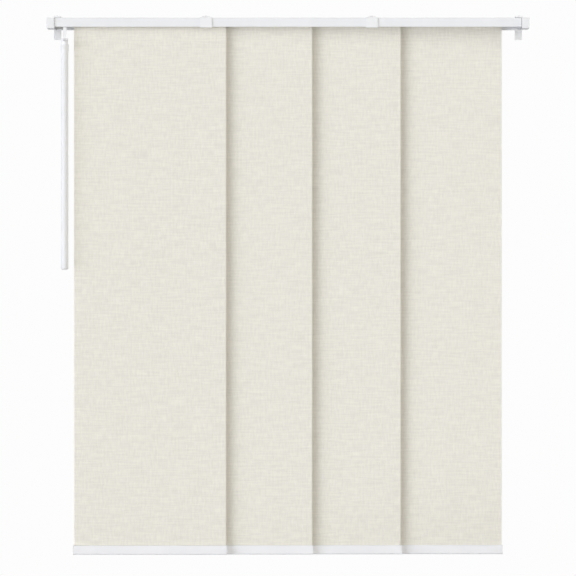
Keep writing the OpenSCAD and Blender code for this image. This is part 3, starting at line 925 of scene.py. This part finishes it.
@dataclass
class Wand:
    """The wand that draws the lead panel, with its arm and link.

    Attributes:
        workshop: Where the pieces are made.
        edge: The rounding of the moulded pieces' edges, in metres.
        strap_edge: The rounding of the strap's edges, in metres.
    """

    workshop: Workshop
    edge: float = 0.35 * MM
    strap_edge: float = 1.2 * MM

    def build(self) -> None:
        """Make the moulded pieces, and paint the pin."""
        for name in ("wand_arm", "wand_ferrule"):
            self.workshop.soften(name, MOULDED_WHITE, self.edge)
        self.workshop.soften("wand_link", MOULDED_WHITE, self.strap_edge, steps=3)
        for name in ("wand_collar", "wand_tube", "wand_tip"):
            self.workshop.soften(name, WAND_GLOSS, self.edge)
        self.workshop.paint("wand_pin", ZINC_PLATE)


DAYLIGHT: Colour = (0.965, 1.0, 1.075)
WARM_FILL: Colour = (1.005, 0.975, 0.9)


@dataclass(frozen=True)
class Lamp:
    """A wide soft lamp, far off.

    Attributes:
        name: The lamp's name.
        share: The share of the full light that it lays on a panel facing the camera, or on its back.
        turn: How far it stands to the right of the camera, in degrees.
        rise: How high it stands, in degrees.
        spread: How wide it looks from the blind, in degrees.
        colour: Its colour.
    """

    name: str
    share: float
    turn: float
    rise: float
    spread: float
    colour: Colour = (1.0, 1.0, 1.0)

    def hang(self) -> None:
        """Add the lamp to the scene, at the strength that gives its share."""
        turn, rise = math.radians(self.turn), math.radians(self.rise)
        facing = abs(math.cos(turn) * math.cos(rise))
        data = bpy.data.lights.new(self.name, "SUN")
        data.energy = math.pi * self.share / facing
        data.angle = math.radians(self.spread)
        data.color = self.colour
        lamp = bpy.data.objects.new(self.name, data)
        lamp.rotation_euler = Euler((math.pi / 2 - rise, 0.0, turn))
        bpy.context.scene.collection.objects.link(lamp)


@dataclass
class Studio:
    """A plain studio: camera, soft lamps, white surroundings and a pale floor.

    Attributes:
        distance: From the camera to the rail's face, in metres.
        frame_width: The picture's width at the rail's face, in metres.
        eye_height: The camera's height, in metres.
        sensor: The camera's sensor width, in millimetres.
        sight: How far the camera sees, in metres.
        surround: The brightness of the surroundings as the camera sees them.
        ambient: The light from all round, as a share of the full light.
        floor_gap: The floor's distance below the blind, in metres.
        floor_size: The floor's width and depth, in metres.
        floor_reach: How far the floor goes on behind the blind, in metres.
        floor_tone: The floor's tone where it is seen.
        floor_bounce: The floor's tone for the light that it throws back.
        floor_glow: How far the floor is lightened where it is seen.
        floor_roughness: The roughness of the floor's paint.
        floor_specular: The specular level of the floor's paint.
        lamps: The lamps.
    """

    distance: float = 25.0
    frame_width: float = 2.2704
    eye_height: float = -1.0507
    sensor: float = 36.0
    sight: float = 100.0
    surround: float = 0.98
    ambient: float = 0.1
    floor_gap: float = 0.8
    floor_size: tuple[float, float] = (6.0, 4.0)
    floor_reach: float = 1.1
    floor_tone: float = 0.86
    floor_bounce: float = 0.12
    floor_glow: float = 0.4
    floor_roughness: float = 0.8
    floor_specular: float = 0.1
    lamps: tuple[Lamp, ...] = field(
        default_factory=lambda: (
            Lamp("strip_left_1", 0.02, -30.0, -7.0, 18.0, DAYLIGHT),
            Lamp("strip_left_2", 0.03, -40.0, -7.0, 18.0, DAYLIGHT),
            Lamp("strip_left_3", 0.055, -50.0, -7.0, 18.0, DAYLIGHT),
            Lamp("strip_left_4", 0.07, -60.0, -7.0, 18.0, DAYLIGHT),
            Lamp("strip_left_5", 0.09, -70.0, -7.0, 18.0, DAYLIGHT),
            Lamp("high_left_1", 0.07, -45.0, 18.0, 30.0, DAYLIGHT),
            Lamp("high_left_2", 0.085, -65.0, 16.0, 30.0, DAYLIGHT),
            Lamp("strip_front_1", 0.12, 4.0, -8.0, 16.0, WARM_FILL),
            Lamp("strip_front_2", 0.08, 30.0, -8.0, 16.0, WARM_FILL),
            Lamp("strip_right_1", 0.08, 62.0, -3.0, 26.0, WARM_FILL),
            Lamp("strip_right_2", 0.02, 80.0, -1.0, 16.0, DAYLIGHT),
            Lamp("high_front", 0.11, 16.0, 19.0, 30.0, WARM_FILL),
            Lamp("top_front", 0.06, 8.0, 46.0, 34.0, WARM_FILL),
            Lamp("fill_behind", 0.36, 155.0, 20.0, 70.0),
        )
    )

    def build(self) -> None:
        """Set up the camera, the lamps, the surroundings and the floor."""
        bpy.context.scene.view_settings.view_transform = "Standard"
        self.place_camera()
        for lamp in self.lamps:
            lamp.hang()
        self.paint_surroundings()
        self.lay_floor()

    def place_camera(self) -> None:
        """Stand the camera square in front of the blind, at half its height."""
        data = bpy.data.cameras.new("camera")
        data.sensor_width = self.sensor
        data.lens = self.sensor * self.distance / self.frame_width
        data.clip_end = self.sight
        camera = bpy.data.objects.new("camera", data)
        rail_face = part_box("head_rail")[0].y
        camera.location = (0.0, rail_face - self.distance, self.eye_height)
        camera.rotation_euler = (math.pi / 2, 0.0, 0.0)
        bpy.context.scene.collection.objects.link(camera)
        bpy.context.scene.camera = camera

    def paint_surroundings(self) -> None:
        """Make the world white to the camera, in gloss and through glass, and dim to everything else."""
        world = bpy.data.worlds.new("studio_white")
        world.use_nodes = True
        bpy.context.scene.world = world
        bench = ShaderBench(world.node_tree)
        dim = world.node_tree.nodes["Background"]
        dim.inputs["Strength"].default_value = self.ambient
        dim.inputs["Color"].default_value = (1.0, 1.0, 1.0, 1.0)
        white = bench.add("ShaderNodeBackground")
        white.inputs["Strength"].default_value = self.surround
        white.inputs["Color"].default_value = (1.0, 1.0, 1.0, 1.0)
        mix = bench.add("ShaderNodeMixShader")
        bench.feed(mix.inputs[0], self.seen(bench))
        bench.feed(mix.inputs[1], dim.outputs[0])
        bench.feed(mix.inputs[2], white.outputs[0])
        bench.feed(world.node_tree.nodes["World Output"].inputs["Surface"], mix.outputs[0])

    @staticmethod
    def seen(bench: ShaderBench) -> bpy.types.NodeSocket:
        """Tell what is seen, directly, in gloss or through glass, from what only sends light on.

        Args:
            bench: The bench of a material's or the world's tree.

        Returns:
            A socket that gives 1 for what is seen, else 0.
        """
        ray = bench.add("ShaderNodeLightPath").outputs
        seen = bench.sum("MAXIMUM", ray["Is Camera Ray"], ray["Is Glossy Ray"])
        return bench.sum("MAXIMUM", seen, ray["Is Transmission Ray"])

    def floor_paint(self) -> bpy.types.Material:
        """Make the floor's paint, which is pale where it is seen and throws little light back.

        Returns:
            The material.
        """
        paint = bpy.data.materials.new("pale_floor")
        paint.use_nodes = True
        bench = ShaderBench(paint.node_tree)
        shader = paint.node_tree.nodes["Principled BSDF"]
        shader.inputs["Roughness"].default_value = self.floor_roughness
        shader.inputs["Specular IOR Level"].default_value = self.floor_specular
        seen = self.seen(bench)
        tone = bench.tint(seen, (self.floor_bounce,) * 3, (self.floor_tone,) * 3)
        bench.feed(shader.inputs["Base Color"], tone)
        shader.inputs["Emission Color"].default_value = (1.0, 1.0, 1.0, 1.0)
        bench.feed(shader.inputs["Emission Strength"], bench.sum("MULTIPLY", seen, self.floor_glow))
        return paint

    def lay_floor(self) -> None:
        """Lay a pale floor below the blind, out of the camera's sight."""
        low, high = CAD_BOX
        width, depth = self.floor_size
        centre = Vector((0.0, high.y + self.floor_reach - depth / 2, low.z - self.floor_gap))
        shape = bmesh.new()
        bmesh.ops.create_grid(
            shape, x_segments=1, y_segments=1, size=1.0,
            matrix=Matrix.Translation(centre) @ Matrix.Diagonal((width / 2, depth / 2, 1.0, 1.0)),
        )
        mesh = bpy.data.meshes.new("floor")
        shape.to_mesh(mesh)
        shape.free()
        floor = bpy.data.objects.new("floor", mesh)
        mesh.materials.append(self.floor_paint())
        bpy.context.scene.collection.objects.link(floor)


def main() -> None:
    """Build the studio and the blind, one sub-assembly after the other."""
    logging.basicConfig(level=logging.INFO, format="%(name)s: %(message)s")
    Studio().build()
    workshop = Workshop()
    HeadRail(workshop).build()
    WallFixings(workshop).build()
    for number in range(1, PANEL_COUNT + 1):
        SlidingPanel(workshop, number).build()
    Wand(workshop).build()


if __name__ == "__main__":
    main()
